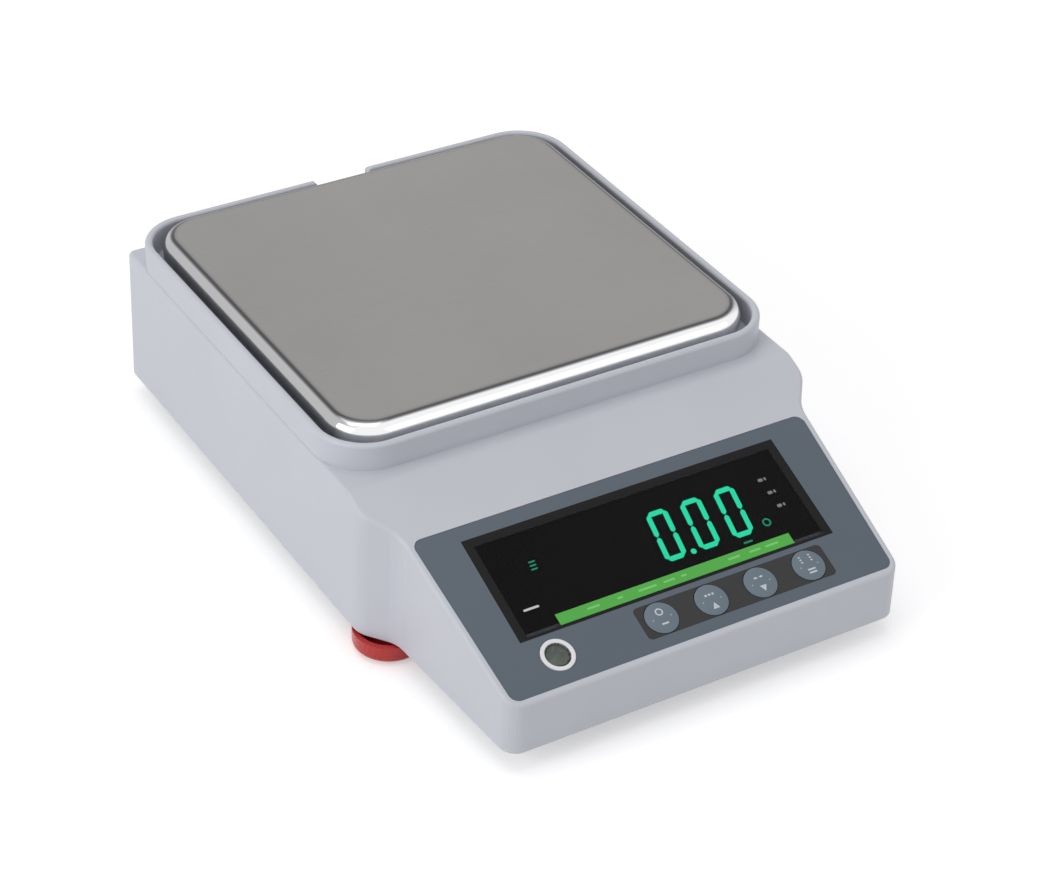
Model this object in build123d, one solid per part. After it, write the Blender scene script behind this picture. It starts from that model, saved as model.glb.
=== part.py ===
from build123d import *
import os
from math import cos, radians, sin, tan

# Precision balance. Millimetres, +Z up, +X to the user's right, +Y to the back.
# The origin lies on the table, under the middle of the body.

# Body outline and side profile
body_width = 200.0
body_length = 291.0
foot_height = 9.0
front_wall_height = 21.8
ledge_height = 59.2
panel_slope = 20.9
side_draft = 0.6
wall = 2.5
waist_half_width = 90.4
nose_half_width = 86.3
shoulder_from_front = 87.9
waist_from_front = 75.2
waist_round = 12.0
nose_round = 7.0
back_round = 4.0
top_edge_round = 1.5
shoulder_round = 8.0
bottom_edge_round = 0.8

# Raised rim around the pan
rim_height = 11.1
rim_wall = 3.3
rim_step = 0.6
rim_back_step = 0.5
rim_corner = 22.0
rim_top_round = 1.4
well_length = 179.4
notch_width = 24.0
notch_round = 2.5
peg_radius = 1.0
peg_length = 1.6
peg_gap = 0.05

# Weighing pan
pan_gap = 3.0
pan_rise = 3.5
pan_roll = 6.0
pan_skirt = 11.0
pan_sheet = 1.0
pan_corner = 19.0

# Pan support and its buffers
buffer_spread_x = 124.0
buffer_spread_y = 108.0
buffer_head_radius = 7.0
buffer_head_height = 3.6
buffer_neck_radius = 4.0
pan_pin_radius = 2.5
pan_pin_length = 6.0
slip_gap = 0.3
support_thickness = 4.5
support_hub_radius = 24.0
support_arm_width = 16.0
support_arm_waist = 10.0
support_pad_radius = 10.0
support_rib_height = 2.0
post_radius = 11.0
post_flange = 2.5
support_screw_length = 8.0
deck_hole_radius = 17.0
deck_collar_wall = 3.0
deck_collar_height = 4.0

# Load cell and its carrier
cell_length = 130.0
cell_width = 22.0
cell_height = 28.0
cell_eye_radius = 9.0
cell_eye_spacing = 40.0
cell_end = 26.0
cell_clearance = 8.0
cell_screw_spacing = 15.0
cell_screw_radius = 2.5
cell_screw_head = 4.5
cell_thread_depth = 9.0
cell_chamfer = 0.6
bracket_gap = 4.0
bracket_thickness = 6.0
bracket_width = 36.0
bracket_corner = 6.0
stop_radius = 3.0
stop_gap = 0.6

# Base plate and feet
base_thickness = 3.0
base_recess = 0.5
base_gap = 0.25
base_lip_height = 5.0
base_lip_wall = 1.6
foot_x = 87.0
foot_from_front = 87.5
knob_radius = 14.0
knob_ground_gap = 1.2
knob_body_gap = 0.5
knob_round = 2.2
knob_groove_depth = 3.0
knob_hub_radius = 5.0
knob_rim = 2.2
foot_pad_radius = 8.0
foot_pad_height = 3.2
stud_radius = 3.0
stud_tip_radius = 2.0
stud_length = 18.0
thread_clearance = 0.08
insert_radius = 5.0
insert_length = 11.0
boss_wall = 2.5
rear_foot_x = 72.0
rear_foot_from_back = 30.0
rear_foot_radius = 9.0

# Sloped panel: overlay, window and display. The panel's own axes are X and the
# distance up the slope from the front edge.
overlay_bottom_half = 83.7
overlay_top_half = 87.1
overlay_low = 2.7
overlay_high = 76.9
overlay_round = 4.0
recess_depth = 0.8
overlay_thickness = 0.6
overlay_gap = 0.15
window_width = 138.4
window_low = 24.1
window_high = 70.6
window_thickness = 1.6
window_ledge = 3.0
window_frame_border = 5.0
window_frame_edge = 1.6
window_frame_height = 2.4
digit_height = 22.3
digit_width = 9.4
digit_pitch = 15.2
digit_stroke = 1.9
digit_slant = 7.0
digit_left = 1.2
digit_low = 35.8
digit_relief = 0.2
segment_gap = 0.3
digit_count = 3
display_screw_radius = 1.0
display_screw_length = 2.0

# Keys
key_radius = 6.6
key_pitch = 22.0
first_key_x = -14.15
key_count = 4
key_row = 14.8
key_rise = 0.7
key_dome = 0.5
key_flange = 0.7
key_flange_thickness = 0.8
key_depth = 2.0
key_travel = 0.5
key_stem_radius = 2.0
strip_margin_x = 2.45
strip_margin_y = 0.45
strip_round = 2.0
switch_size = 6.0
switch_height = 3.4
switch_button_radius = 1.7
switch_button_height = 1.0
keypad_board_height = 17.0
keypad_post_radius = 3.2
keypad_screw_length = 5.0
board_thickness = 1.6

# Round level
level_x = -58.6
ring_radius = 6.65
ring_wall = 1.65
ring_rise = 0.5
ring_depth = 1.5
vial_depth = 7.0
vial_wall = 0.8
bubble_radius = 1.9
cup_wall = 1.2
cup_flange = 0.8

# Connector bay at the back
bay_width = 100.0
bay_low = 12.0
bay_high = 40.0
bay_depth = 12.0
bay_round = 3.0
bay_wall = 1.6
bay_gap = 1.7
bay_flange = 1.6
bay_recess = 0.8
serial_x = -30.0
serial_flange_width = 30.8
serial_flange_height = 12.5
serial_flange = 0.8
serial_shell_width = 16.9
serial_shell_height = 8.3
serial_shell_depth = 6.0
serial_body_depth = 10.0
jack_screw_spacing = 24.99
jack_screw_radius = 2.6
jack_screw_bore = 1.2
jack_shank_radius = 1.5
jack_shank_gap = 0.05
jack_screw_length = 4.8
dc_x = 2.0
dc_nut_radius = 5.5
dc_barrel_radius = 4.0
dc_bore_radius = 3.15
dc_pin_radius = 1.0
dc_depth = 11.0
switch_x = 32.0
rocker_bezel_width = 15.0
rocker_bezel_height = 21.0
rocker_bezel = 1.5
rocker_case_width = 11.8
rocker_case_height = 18.8
rocker_case_depth = 14.0
rocker_case_gap = 0.2
rocker_width = 9.0
rocker_length = 14.0
rocker_tilt = 9.0
rocker_gap = 0.4
rocker_pivot_radius = 1.2
rocker_pivot_length = 0.8
rocker_pivot_gap = 0.05

# Boards and fasteners
main_board_from_side = 12.0
main_board_from_middle = 26.0
main_board_length = 96.0
main_board_from_well = 44.0
board_hole_inset = 5.0
standoff_height = 8.0
standoff_radius = 3.5
screw_radius = 1.5
screw_head_radius = 2.9
screw_head_height = 1.8
screw_gap = 0.1
board_screw_length = 5.0
housing_boss_radius = 4.0
housing_screw_length = 14.0
rib_thickness = 1.6
rib_depth = 5.0
base_rib_x = 20.0
base_rib_from_back = 52.0

# Places worked out from the sizes above
front_y = -body_length / 2
back_y = body_length / 2
front_top_z = foot_height + front_wall_height
ledge_z = foot_height + ledge_height
draft_in = ledge_height * tan(radians(side_draft))
rim_top_z = ledge_z + rim_height
rim_half_width = body_width / 2 - draft_in - rim_step
well_half_width = rim_half_width - rim_wall
rim_length = well_length + 2 * rim_wall
well_y = back_y - draft_in - rim_back_step - rim_length / 2
roof_z = ledge_z - wall
slope = tan(radians(panel_slope))
panel = Plane(
    origin=(0, front_y, front_top_z),
    x_dir=(1, 0, 0),
    z_dir=(0, -sin(radians(panel_slope)), cos(radians(panel_slope))),
)

base_z = foot_height + base_recess
base_top_z = base_z + base_thickness
pan_top_z = rim_top_z + pan_rise
pan_under_z = pan_top_z - pan_sheet
pan_width = 2 * (well_half_width - pan_gap)
pan_length = well_length - 2 * pan_gap
support_top_z = pan_under_z - buffer_head_height
support_z = support_top_z - support_thickness
cell_z = base_top_z + cell_clearance
cell_top_z = cell_z + cell_height
bracket_z = cell_top_z + bracket_gap
bracket_top_z = bracket_z + bracket_thickness
cell_front_y = well_y - cell_length / 2
cell_back_y = well_y + cell_length / 2
foot_y = front_y + foot_from_front
rear_foot_y = back_y - rear_foot_from_back
base_rib_y = back_y - base_rib_from_back
overlay_z = -recess_depth
overlay_top = overlay_z + overlay_thickness
window_middle = (window_low + window_high) / 2
window_height = window_high - window_low
window_under = overlay_top - window_thickness
key_xs = [first_key_x + n * key_pitch for n in range(key_count)]
key_hole_radius = key_radius + slip_gap
strip_width = key_xs[-1] - key_xs[0] + 2 * (key_radius + strip_margin_x)
strip_height = 2 * (key_radius + strip_margin_y)
bay_floor_y = back_y - bay_depth
bay_z = foot_height + (bay_low + bay_high) / 2
corners = [(sx, sy) for sx in (-1, 1) for sy in (-1, 1)]
buffer_places = [(sx * buffer_spread_x / 2, well_y + sy * buffer_spread_y / 2) for sx, sy in corners]
foot_places = [(-foot_x, foot_y), (foot_x, foot_y)]
rear_foot_places = [(-rear_foot_x, rear_foot_y), (rear_foot_x, rear_foot_y)]
main_board_width = body_width / 2 - main_board_from_side - main_board_from_middle
main_board_x = main_board_from_middle + main_board_width / 2
board_y = well_y - main_board_from_well
board_z = base_top_z + standoff_height
board_hole_x = main_board_width / 2 - board_hole_inset
board_hole_y = main_board_length / 2 - board_hole_inset
board_hole_places = [(main_board_x + sx * board_hole_x, board_y + sy * board_hole_y) for sx, sy in corners]


def disc(radius, height, x=0.0, y=0.0, z=0.0):
    """Cylinder standing on height z."""
    return Pos(x, y, z) * Cylinder(radius, height, align=(Align.CENTER, Align.CENTER, Align.MIN))


def block(width, length, height, x=0.0, y=0.0, z=0.0):
    """Box standing on height z."""
    return Pos(x, y, z) * Box(width, length, height, align=(Align.CENTER, Align.CENTER, Align.MIN))


def slab(width, length, height, radius, x=0.0, y=0.0, z=0.0):
    """Plate with round corners standing on height z."""
    return Pos(x, y, z) * extrude(RectangleRounded(width, length, radius), height)


def ring(outer, inner, height, x=0.0, y=0.0, z=0.0):
    return disc(outer, height, x, y, z) - disc(inner, height, x, y, z)


def union(shapes):
    """One shape of all the given ones."""
    total = shapes[0]
    for shape in shapes[1:]:
        total = total + shape
    return total


def group(shapes):
    """Separate solids kept in one node."""
    return Compound(children=[solid for shape in shapes for solid in shape.solids()])


def turned(points):
    """Solid of revolution about Z from a closed (radius, height) outline."""
    return revolve(Plane.XZ * Polygon(*points, align=None), Axis.Z)


def corners_between(plan, low_y, high_y):
    return plan.vertices().filter_by_position(Axis.Y, low_y - 0.1, high_y + 0.1)


def body_outline():
    """Plan of the body: wide rear, waist with an S-curve, tapering nose."""
    half = body_width / 2
    shoulder_y = front_y + shoulder_from_front
    waist_y = front_y + waist_from_front
    right = [(nose_half_width, front_y), (waist_half_width, waist_y), (half, shoulder_y), (half, back_y)]
    left = [(-x, y) for x, y in reversed(right)]
    plan = Polygon(*right, *left, align=None)
    plan = fillet(corners_between(plan, waist_y, shoulder_y), waist_round)
    plan = fillet(corners_between(plan, back_y, back_y), back_round)
    return fillet(corners_between(plan, front_y, front_y), nose_round)


def side_profile(top_z, inset):
    """Prism under the sloped panel and the flat top, sunk by the inset."""
    drop = inset / cos(radians(panel_slope))
    margin = 20.0
    low_z = front_top_z - drop - margin * slope
    bend_y = front_y + (top_z - front_top_z + drop) / slope
    points = [
        (front_y - margin, low_z),
        (bend_y, top_z),
        (back_y + margin, top_z),
        (back_y + margin, 0),
        (front_y - margin, 0),
    ]
    outline = Polygon(*points, align=None)
    bend = outline.vertices().filter_by_position(Axis.X, bend_y - 0.1, bend_y + 0.1)
    return extrude(Plane.YZ * fillet(bend, shoulder_round), body_width, both=True)


def body_blank():
    """Outer form of the body with its top edges rounded, before the rim."""
    prism = Pos(0, 0, foot_height) * extrude(body_outline(), ledge_height + 1, taper=side_draft)
    blank = prism & side_profile(ledge_z, 0)
    tops = blank.faces().filter_by(lambda f: f.normal_at().Z > 0.5)
    rims = [e for e in blank.edges() if len([f for f in tops if e in f.edges()]) == 1]
    blank = fillet(rims, top_edge_round)
    return fillet(blank.faces().sort_by(Axis.Z)[0].edges(), bottom_edge_round)


def body_cavity():
    plan = offset(body_outline(), -wall)
    prism = Pos(0, 0, foot_height) * extrude(plan, ledge_height, taper=side_draft)
    return prism & side_profile(roof_z, wall)


def pan_rim():
    """Raised wall around the pan, seated on the housing's ledge by pegs, open at the back."""
    height = rim_top_z - ledge_z
    outer = slab(2 * rim_half_width, rim_length, height, rim_corner, y=well_y, z=ledge_z)
    inner = slab(2 * well_half_width, well_length, height, rim_corner - rim_wall, y=well_y, z=ledge_z)
    wall_ring = outer - inner
    wall_ring = fillet(wall_ring.faces().sort_by(Axis.Z)[-1].edges(), rim_top_round) - rim_notch()
    low = ledge_z - peg_length
    pegs = [disc(peg_radius, peg_length + 1, x, y, low) for x, y in peg_places()]
    return union([wall_ring] + pegs)


def peg_places():
    """Pegs along the middle of the rim's wall: x, y."""
    side_x = well_half_width + rim_wall / 2
    end_y = (well_length + rim_wall) / 2
    places = [(sx * side_x, well_y + sy * well_length / 4) for sx, sy in corners]
    return places + [(sx * well_half_width / 2, well_y + sy * end_y) for sx, sy in corners]


def rim_notch():
    """Cutter for the gap in the rim's rear wall, with rounded shoulders at the top."""
    half = notch_width / 2
    wide = half + 2 * notch_round
    above = rim_top_z + 2 * notch_round
    right = [(half, ledge_z), (half, rim_top_z), (wide, rim_top_z), (wide, above)]
    left = [(-x, z) for x, z in reversed(right)]
    outline = Polygon(*right, *left, align=None)
    inner = outline.vertices().filter_by_position(Axis.X, -half - 0.1, half + 0.1)
    shoulders = inner.group_by(Axis.Y)[-1]
    cutter = extrude(Plane.XZ * fillet(shoulders, notch_round), rim_wall * 2, both=True)
    return Pos(0, back_y - rim_wall, 0) * cutter


def overlay_outline(gap):
    """Trapezoid of the overlay in the panel's axes, smaller all round by the gap."""
    points = [
        (-overlay_bottom_half + gap, overlay_low + gap),
        (overlay_bottom_half - gap, overlay_low + gap),
        (overlay_top_half - gap, overlay_high - gap),
        (-overlay_top_half + gap, overlay_high - gap),
    ]
    outline = Polygon(*points, align=None)
    return fillet(outline.vertices(), overlay_round)


def on_panel(shape, x=0.0, up=0.0, height=0.0):
    return panel * (Pos(x, up, height) * shape)


def serial_plan(width, height):
    """D-shaped outline: the lower edge is shorter by ten degrees on each side."""
    lean = height * tan(radians(10))
    points = [
        (-width / 2 + lean, -height / 2),
        (width / 2 - lean, -height / 2),
        (width / 2, height / 2),
        (-width / 2, height / 2),
    ]
    outline = Polygon(*points, align=None)
    return fillet(outline.vertices(), 1.5)


def at_bay(shape, x=0.0, out=0.0):
    """Place a shape drawn in X and Z, growing backwards, on the bay's floor."""
    plane = Plane(origin=(x, bay_floor_y + out, bay_z), x_dir=(-1, 0, 0), z_dir=(0, 1, 0))
    return plane * shape


def housing_boss_places():
    """Screw posts that hold the base plate: x, y."""
    inset = wall + housing_boss_radius + 1
    wide_x = body_width / 2 - inset
    nose_x = nose_half_width - inset
    back = back_y - inset
    middle = well_y - well_length / 4
    front = front_y + inset
    return [(s * x, y) for s in (-1, 1) for x, y in ((wide_x, back), (wide_x, middle), (nose_x, front))]


def upper_housing():
    """Moulded shell: waisted body, sunk pan deck, panel recess, posts and ribs."""
    cavity = body_cavity()
    shell = body_blank() - cavity
    shell = shell + (union(housing_posts() + housing_ribs() + [window_frame()]) & cavity)

    collar = disc(deck_hole_radius + deck_collar_wall, deck_collar_height, y=well_y, z=ledge_z)
    shell = shell + collar - disc(deck_hole_radius, rim_top_z, y=well_y)
    return shell - housing_cuts()


def housing_posts():
    """Screw posts for the base plate and for the keypad board."""
    posts = [disc(housing_boss_radius, ledge_z, x, y, base_top_z + 0.1) for x, y in housing_boss_places()]
    low = keypad_board_top()
    height = 1 - wall - low
    posts += [on_panel(disc(keypad_post_radius, height, z=low), x, key_row) for x in keypad_post_xs()]
    return posts


def housing_ribs():
    """Stiffening ribs under the roof of the well, open in the middle for the carrier."""
    height = rib_depth + 2
    low = roof_z - rib_depth
    rib_ys = [well_y + n * well_length / 4 for n in (-1, 0, 1)]
    ribs = [block(body_width, rib_thickness, height, y=y, z=low) for y in rib_ys]
    rib_xs = [-well_half_width / 2, well_half_width / 2]
    ribs += [block(rib_thickness, well_length, height, x=x, y=well_y, z=low) for x in rib_xs]
    carrier_room = block(bracket_width + 8, well_length, height + 2, y=well_y, z=low - 1)
    return [rib - carrier_room for rib in ribs]


def window_frame():
    """Frame behind the window that carries the display board."""
    width = window_width + 2 * window_frame_border
    height = window_height + 2 * window_frame_edge
    frame = block(width, height, window_frame_height + wall, z=frame_under())
    return on_panel(frame, up=window_middle)


def housing_cuts():
    """Everything opened through the shell: recess, window, keys, level, bay and screw pilots."""
    through = 4 * wall
    low = -3 * wall
    cuts = [on_panel(extrude(overlay_outline(0), recess_depth), height=-recess_depth)]
    window = block(window_width, window_height, window_thickness + recess_depth, z=window_under)
    opening = block(window_width - 2 * window_ledge, window_height - 2 * window_ledge, through, z=low)
    cuts += [on_panel(window, up=window_middle), on_panel(opening, up=window_middle)]
    cuts += [on_panel(disc(key_hole_radius, through, z=low), x, key_row) for x in key_xs]
    cuts += [on_panel(disc(ring_radius + overlay_gap, through, z=low), level_x, key_row)]
    bay = bay_block(bay_gap, 3 * wall, -2 * wall)
    cuts.append(bay)
    peg_hole = peg_length + 2 * peg_gap
    cuts += [disc(peg_radius + peg_gap, peg_hole, x, y, ledge_z - peg_hole) for x, y in peg_places()]
    cuts += [disc(screw_radius, housing_screw_length, x, y, base_top_z) for x, y in housing_boss_places()]
    pilot = disc(screw_radius, keypad_screw_length + 1, z=keypad_board_top())
    cuts += [on_panel(pilot, x, key_row) for x in keypad_post_xs()]
    pilot = disc(display_screw_radius, display_screw_length + 0.4, z=frame_under())
    cuts += [on_panel(pilot, x, up) for x, up in display_screw_places()]
    return union(cuts)


def bay_block(margin, height, out):
    """Block with the bay's outline grown by the margin; it starts at that distance from the back."""
    outline = RectangleRounded(bay_width + 2 * margin, bay_high - bay_low + 2 * margin, bay_round + margin)
    return at_bay(extrude(outline, height), out=bay_depth + out)


def bay_panel():
    """Cup for the connectors, set in the back wall with a flange on the inside."""
    back = back_y - draft_in
    depth = bay_depth + bay_wall - bay_recess
    cup = bay_block(bay_wall, depth, -bay_depth - bay_wall)
    cup = cup + bay_block(bay_wall + bay_flange, bay_wall, back - back_y - wall - bay_wall)
    return cup - bay_block(0, bay_depth + 1, -bay_depth) - union(panel_holes())


def panel_holes():
    """Holes through the floor of the bay."""
    depth = 2 * bay_wall
    serial = extrude(serial_plan(serial_shell_width + 1, serial_shell_height + 1), -depth)
    cuts = [at_bay(serial, serial_x)]
    for side in (-1, 1):
        shank = disc(jack_shank_radius + jack_shank_gap, depth, side * jack_screw_spacing / 2, z=-depth)
        cuts.append(at_bay(shank, serial_x))
    cuts.append(at_bay(disc(dc_barrel_radius + overlay_gap, depth, z=-depth), dc_x))
    width = rocker_case_width + rocker_case_gap
    height = rocker_case_height + rocker_case_gap
    cuts.append(at_bay(block(width, height, depth, z=-depth), switch_x))
    return cuts


def base_plate():
    """Floor of the body: plate with a locating lip, foot bosses, standoffs, cell pad and ribs."""
    plan = offset(body_outline(), -wall - base_gap)
    inner_plan = offset(body_outline(), -wall - base_gap - base_lip_wall)
    plate = Pos(0, 0, base_z) * extrude(plan, base_thickness)
    lip = Pos(0, 0, base_top_z) * (extrude(plan, base_lip_height) - extrude(inner_plan, base_lip_height))
    keep = Pos(0, 0, base_z) * extrude(plan, ledge_height)
    seat_y = cell_back_y - cell_end / 2
    cell_seat = block(cell_width + 6, cell_end + 2, cell_clearance, y=seat_y, z=base_top_z)
    plate = plate + lip + (union(base_bosses() + base_ribs()) & keep) - cell_seat
    return plate - union(base_cuts())


def base_bosses():
    """Bosses for foot inserts, boards, rear feet and overload stops."""
    boss_height = insert_length + boss_wall - base_thickness
    bosses = [disc(insert_radius + boss_wall, boss_height, x, y, base_top_z) for x, y in foot_places]
    bosses += [disc(standoff_radius, standoff_height, x, y, base_top_z) for x, y in board_hole_places]
    bosses += [disc(standoff_radius + 1, standoff_height, x, y, base_top_z) for x, y in rear_foot_places]
    bosses += [disc(stop_radius + boss_wall, cell_clearance / 2, 0, y, base_top_z) for y in stop_places()]
    return bosses


def base_ribs():
    """Two ribs across the plate and two along it, beside the load cell."""
    height = base_lip_height - 1
    length = cell_back_y - front_y
    middle = front_y + length / 2
    ribs = [block(body_width, rib_thickness, height, y=y, z=base_top_z) for y in (foot_y, base_rib_y)]
    ribs += [block(rib_thickness, length, height, s * base_rib_x, middle, base_top_z) for s in (-1, 1)]
    return ribs


def base_cuts():
    """Screw holes, insert bores and the seats of screw heads."""
    clear = screw_radius + screw_gap
    head = screw_head_radius + 2 * screw_gap
    cuts = []
    for x, y in housing_boss_places():
        cuts += [
            disc(clear, base_thickness, x, y, base_z),
            disc(head, screw_head_height, x, y, base_z),
            disc(housing_boss_radius + 2 * screw_gap, base_lip_height + 1, x, y, base_top_z),
        ]
    cuts += [disc(insert_radius, ledge_height, x, y, foot_height) for x, y in foot_places]
    cuts += [disc(screw_radius, standoff_height, x, y, base_top_z) for x, y in board_hole_places]
    depth = standoff_height + base_thickness
    cuts += [disc(screw_radius, depth, x, y, base_z) for x, y in rear_foot_places]
    cuts += [disc(stop_radius, base_thickness + cell_clearance, 0, y, base_z) for y in stop_places()]
    for y in cell_screw_places(cell_back_y, -1):
        cuts += [
            disc(cell_screw_radius + screw_gap, base_thickness, 0, y, base_z),
            disc(cell_screw_head + screw_gap, base_thickness - 1, 0, y, base_z),
        ]
    return cuts


def stop_places():
    """Overload stops under the moving end of the load cell and near its middle."""
    return [cell_front_y + cell_end / 2, well_y]


def cell_screw_places(end_y, inward):
    """Two screws in one end of the load cell, counted inwards from that end."""
    first = (cell_end - cell_screw_spacing) / 2
    return [end_y + inward * (first + n * cell_screw_spacing) for n in range(2)]


def machine_screw(radius, length, head_radius, head_height, x, y, seat_z, up=1):
    """Pan-head screw: its head sits on seat_z and its shank runs down (up=1) or up (up=-1)."""
    shank = disc(radius, length, z=-length)
    head = disc(head_radius, head_height)
    head = fillet(head.edges().sort_by(Axis.Z)[-1], head_height * 0.45)
    socket = extrude(RegularPolygon(head_radius * 0.45, 6), -head_height * 0.5)
    head = head - Pos(0, 0, head_height) * socket
    screw = shank + head
    if up < 0:
        screw = Rot(180, 0, 0) * screw
    return Pos(x, y, seat_z) * screw


def small_screw(x, y, seat_z, length, up=1):
    return machine_screw(screw_radius, length, screw_head_radius, screw_head_height, x, y, seat_z, up)


def housing_screws():
    length = housing_screw_length - 1
    seat = base_z + screw_head_height
    return group([small_screw(x, y, seat, length, up=-1) for x, y in housing_boss_places()])


def load_cell():
    """Aluminium bending beam with two round eyes joined by a slot, and tapped holes in its ends."""
    beam = block(cell_width, cell_length, cell_height, y=well_y, z=cell_z)
    beam = chamfer(beam.edges().filter_by(Axis.Y), cell_chamfer)
    middle_z = cell_z + cell_height / 2
    eye = Rot(0, 90, 0) * Cylinder(cell_eye_radius, cell_width + 2)
    for side in (-1, 1):
        beam = beam - Pos(0, well_y + side * cell_eye_spacing / 2, middle_z) * eye
    beam = beam - Pos(0, well_y, middle_z) * Box(cell_width + 2, cell_eye_spacing, cell_eye_radius)
    depth = cell_thread_depth
    for y in cell_screw_places(cell_back_y, -1):
        beam = beam - disc(cell_screw_radius, depth, 0, y, cell_z)
    for y in cell_screw_places(cell_front_y, 1):
        beam = beam - disc(cell_screw_radius, depth, 0, y, cell_top_z - depth)
    return beam


def cell_spacer():
    spacer = block(cell_width + 4, cell_end, cell_clearance, y=cell_back_y - cell_end / 2, z=base_top_z)
    for y in cell_screw_places(cell_back_y, -1):
        spacer = spacer - disc(cell_screw_radius + screw_gap, cell_clearance, 0, y, base_top_z)
    return spacer


def cell_screw(y, seat_z, grip, head_height, up=1):
    """Screw into the load cell, through parts as thick as the grip."""
    length = grip + cell_thread_depth - 1
    return machine_screw(cell_screw_radius, length, cell_screw_head, head_height, 0, y, seat_z, up)


def cell_base_screws():
    seat = base_top_z - 1
    grip = cell_clearance + 1
    return group([cell_screw(y, seat, grip, 1.9, up=-1) for y in cell_screw_places(cell_back_y, -1)])


def overload_stops():
    """Two grub screws with a small gap under the load cell."""
    height = cell_z - stop_gap - base_z
    stops = []
    for y in stop_places():
        stop = disc(stop_radius, height, 0, y, base_z)
        stop = chamfer(stop.edges().sort_by(Axis.Z)[-1], 0.5)
        slot = block(stop_radius * 2, 1.0, 1.2, 0, y, base_z)
        stops.append(stop - slot)
    return group(stops)


def carrier_bracket():
    """Plate from the load cell's moving end back to the middle of the pan."""
    length = well_y + bracket_width / 2 - cell_front_y
    middle = cell_front_y + length / 2
    plate = slab(bracket_width, length, bracket_thickness, bracket_corner, y=middle, z=bracket_z)
    foot = block(cell_width, cell_end, bracket_gap, y=cell_front_y + cell_end / 2, z=cell_top_z)
    plate = plate + foot
    for y in cell_screw_places(cell_front_y, 1):
        plate = plate - disc(cell_screw_radius, bracket_gap + bracket_thickness, 0, y, cell_top_z)
    return plate


def bracket_screws():
    grip = bracket_thickness + bracket_gap
    return group([cell_screw(y, bracket_top_z, grip, 3.0) for y in cell_screw_places(cell_front_y, 1)])


def support_post():
    """Round post through the deck hole, with a flange on the bracket."""
    height = support_z - bracket_top_z
    post = disc(post_radius, height, y=well_y, z=bracket_top_z)
    post = post + disc(post_radius + 4, post_flange, y=well_y, z=bracket_top_z)
    depth = support_screw_length + 1
    for x in support_screw_xs():
        post = post - disc(screw_radius, depth, x, well_y, support_z - depth)
    return post


def support_screw_xs():
    return [-post_radius / 2, post_radius / 2]


def pan_support():
    """Cast four-armed support with a hub, ribs and a pierced pad at each corner."""
    plan = Circle(support_hub_radius)
    reach = (buffer_spread_x**2 + buffer_spread_y**2) ** 0.5 / 2
    for x, y in buffer_places:
        turn = Vector(x, y - well_y, 0).get_signed_angle(Vector(1, 0, 0), Vector(0, 0, -1))
        arm = Polygon(
            (0, -support_arm_width / 2),
            (reach, -support_arm_waist / 2),
            (reach, support_arm_waist / 2),
            (0, support_arm_width / 2),
            align=None,
        )
        plan = plan + Rot(0, 0, turn) * arm
        plan = plan + Pos(x, y - well_y) * Circle(support_pad_radius)
    plan = fillet(plan.vertices(), 3)
    body = Pos(0, well_y, support_z) * extrude(plan, support_thickness)
    body = chamfer(body.faces().sort_by(Axis.Z)[-1].edges(), 0.5)
    for x, y in buffer_places:
        body = body - disc(buffer_neck_radius, support_thickness, x, y, support_z)
    for x in support_screw_xs():
        body = body - disc(screw_radius, support_thickness, x, well_y, support_z)
    depth = support_rib_height
    return body - ring(support_hub_radius - 4, post_radius + 3, depth, y=well_y, z=support_top_z - depth)


def support_screws():
    length = support_thickness + support_screw_length
    return group([small_screw(x, well_y, support_top_z, length) for x in support_screw_xs()])


def pan_buffers():
    """Rubber grommets: the pan rests on their heads and its pins drop into them."""
    lip = 0.8
    hole = pan_pin_radius + slip_gap
    profile = [
        (hole, support_z - lip),
        (buffer_neck_radius + 1, support_z - lip),
        (buffer_neck_radius + 1, support_z),
        (buffer_neck_radius, support_z),
        (buffer_neck_radius, support_top_z),
        (buffer_head_radius, support_top_z),
        (buffer_head_radius - 0.6, pan_under_z),
        (hole, pan_under_z),
    ]
    grommet = turned(profile)
    return group([Pos(x, y, 0) * grommet for x, y in buffer_places])


def weighing_pan():
    """Pressed steel tray turned upside down: flat top, rolled edge, short skirt, four pins."""
    low = pan_top_z - pan_skirt
    outer = slab(pan_width, pan_length, pan_skirt, pan_corner, y=well_y, z=low)
    outer = fillet(outer.faces().sort_by(Axis.Z)[-1].edges(), pan_roll)
    inner_width = pan_width - 2 * pan_sheet
    inner_length = pan_length - 2 * pan_sheet
    inner_height = pan_skirt - pan_sheet
    inner = slab(inner_width, inner_length, inner_height, pan_corner - pan_sheet, y=well_y, z=low)
    inner = fillet(inner.faces().sort_by(Axis.Z)[-1].edges(), pan_roll - pan_sheet)
    pin_z = pan_under_z - pan_pin_length
    pins = [disc(pan_pin_radius, pan_pin_length, x, y, pin_z) for x, y in buffer_places]
    pins = [chamfer(pin.edges().sort_by(Axis.Z)[0], 0.6) for pin in pins]
    return union([outer - inner] + pins)


def keypad_overlay():
    """Printed film in the panel's recess, cut out for window, key strip and level."""
    film = extrude(overlay_outline(overlay_gap), overlay_thickness)
    window = block(window_width, window_height, overlay_thickness, y=window_middle)
    strip = Pos(strip_x(), key_row) * RectangleRounded(strip_width, strip_height, strip_round)
    film = film - window - extrude(strip, overlay_thickness)
    film = film - disc(ring_radius + overlay_gap, overlay_thickness, level_x, key_row)
    return on_panel(film, height=overlay_z)


def strip_x():
    return (key_xs[0] + key_xs[-1]) / 2


def key_strip():
    """Black plate around the four keys."""
    gap = overlay_gap / 2
    plan = RectangleRounded(strip_width - 2 * gap, strip_height - 2 * gap, strip_round)
    plate = Pos(strip_x(), key_row) * extrude(plan, overlay_thickness)
    for x in key_xs:
        plate = plate - disc(key_hole_radius, overlay_thickness, x, key_row)
    return on_panel(plate, height=overlay_z)


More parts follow.
